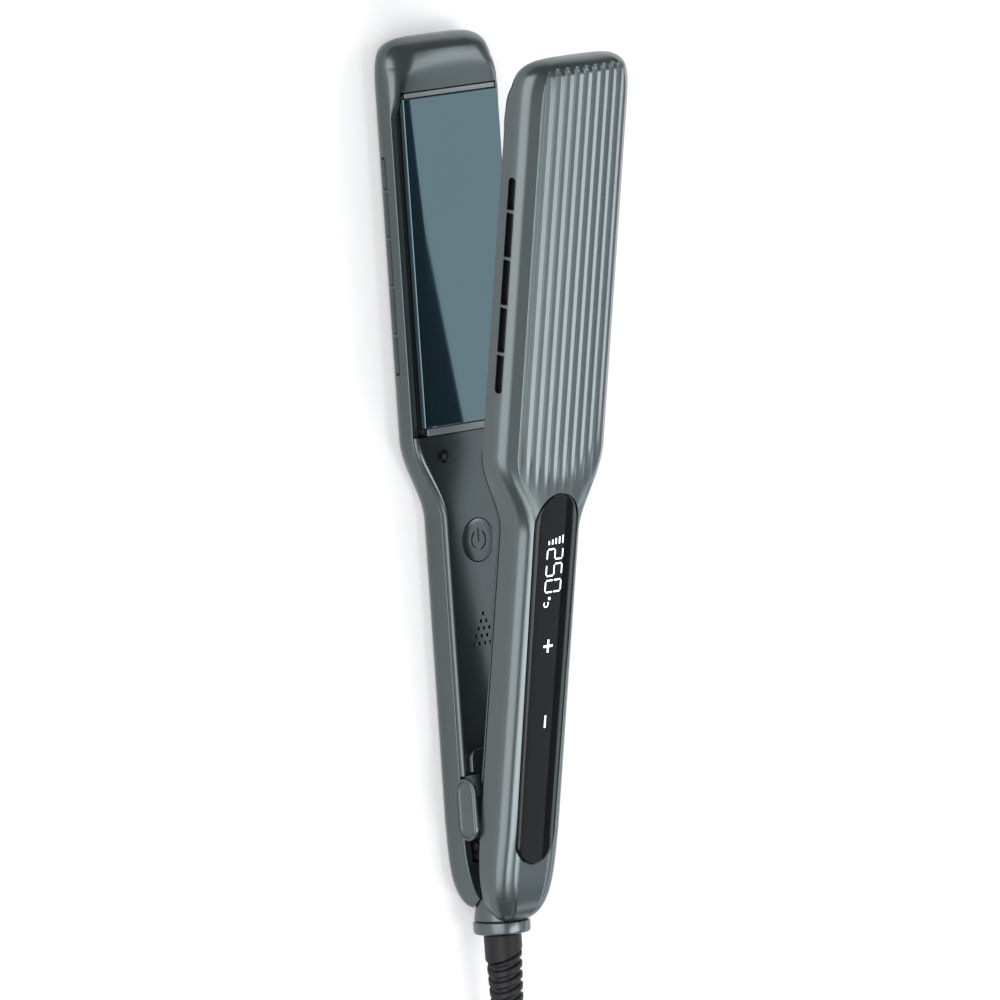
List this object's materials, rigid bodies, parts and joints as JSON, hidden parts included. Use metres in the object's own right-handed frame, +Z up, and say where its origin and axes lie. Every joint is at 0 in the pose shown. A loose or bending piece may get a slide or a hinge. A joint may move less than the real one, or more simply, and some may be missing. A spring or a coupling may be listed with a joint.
{
  "type": "hair straightener",
  "caption": "Flat iron with two fluted arms on a sprung rear hinge, floating heating plates, a display panel, a lock slider and a swivelling cord.",
  "frame": {"origin": "centre of the flat iron's length and width at the surface that its lower arm rests on, measured without the cord", "axes": "+X along the lower arm towards the cord, +Y away from the lock slider, +Z up out of the lower arm's inner face"},
  "size_m": [0.6162, 0.0602, 0.0812],
  "materials": {
    "housing": "satin grey metallic lacquer",
    "cover": "satin grey lacquer",
    "plate": "polished ceramic coating",
    "dark_plastic": "fine grain",
    "lens": "polished",
    "rubber": "moulded",
    "steel": "drawn",
    "ceramic": "sintered",
    "silicone": "moulded",
    "board": "solder resist",
    "brass": "turned",
    "cord": "moulded sheath",
    "display_light": "lit segments"
  },
  "bodies": {
    "lower_arm": {"lower_shell": "housing", "lower_inner_cover": "cover", "lower_plate_frame": "dark_plastic", "lower_frame_screw_1": "steel", "lower_frame_screw_2": "steel", "lower_frame_screw_3": "steel", "lower_frame_screw_4": "steel", "lower_plate_cushion_1": "silicone", "lower_plate_cushion_2": "silicone", "lower_thermal_fuse": "steel", "stop_bumper_far": "rubber", "stop_bumper_near": "rubber", "power_switch": "dark_plastic", "main_board": "board", "buzzer": "dark_plastic", "hinge_boss": "cover", "hinge_pin": "steel", "hinge_spring": "steel", "tail_block": "housing", "swivel_ring": "housing", "cord_tube": "cord", "cord_hank": "cord", "cord_tie": "rubber", "cord_tail": "cord", "plug_body": "rubber", "plug_pin_near": "brass", "plug_pin_far": "brass"},
    "lower_plate": {"lower_plate": "plate", "lower_heater": "ceramic", "lower_heater_clamp": "steel"},
    "power_button": {"power_button": "cover"},
    "lock": {"lock_slider": "housing"},
    "strain_relief": {"strain_relief": "rubber", "swivel_disc": "brass"},
    "upper_arm": {"upper_shell": "housing", "upper_inner_cover": "cover", "upper_plate_frame": "dark_plastic", "upper_frame_screw_1": "steel", "upper_frame_screw_2": "steel", "upper_frame_screw_3": "steel", "upper_frame_screw_4": "steel", "upper_plate_cushion_1": "silicone", "upper_plate_cushion_2": "silicone", "upper_thermal_fuse": "steel", "display_lens": "lens", "display_board": "board", "display_module": "display_light", "hinge_bracket": "housing", "hinge_bush_near": "dark_plastic", "hinge_bush_far": "dark_plastic"},
    "upper_plate": {"upper_plate": "plate", "upper_heater": "ceramic", "upper_heater_clamp": "steel"}
  },
  "joints": [
    {"name": "arm_hinge", "type": "hinge", "parent": "lower_arm", "child": "upper_arm", "pos_m": [0.0937, 0, 0.0119], "axis": [0, -1, 0], "range_deg": [0, 10.8], "stiffness_Nm_per_rad": 1.5, "springref_deg": -20.05},
    {"name": "lower_plate_float", "type": "slide", "parent": "lower_arm", "child": "lower_plate", "axis": [0, 0, -1], "range_m": [0, 0.0006], "stiffness_N_per_m": 6000, "springref_m": -0.0004},
    {"name": "upper_plate_float", "type": "slide", "parent": "upper_arm", "child": "upper_plate", "axis": [0.1874, 0, 0.9823], "range_m": [0, 0.0006], "stiffness_N_per_m": 6000, "springref_m": -0.0004},
    {"name": "power_press", "type": "slide", "parent": "lower_arm", "child": "power_button", "axis": [0, 0, -1], "range_m": [0, 0.0006], "stiffness_N_per_m": 1500, "springref_m": -0.0002},
    {"name": "lock_slide", "type": "slide", "parent": "lower_arm", "child": "lock", "axis": [-1, 0, 0], "range_m": [0, 0.005]},
    {"name": "cord_swivel", "type": "hinge", "parent": "lower_arm", "child": "strain_relief", "pos_m": [0.1294, 0, 0.0131], "axis": [1, 0, 0], "continuous": true}
  ]
}
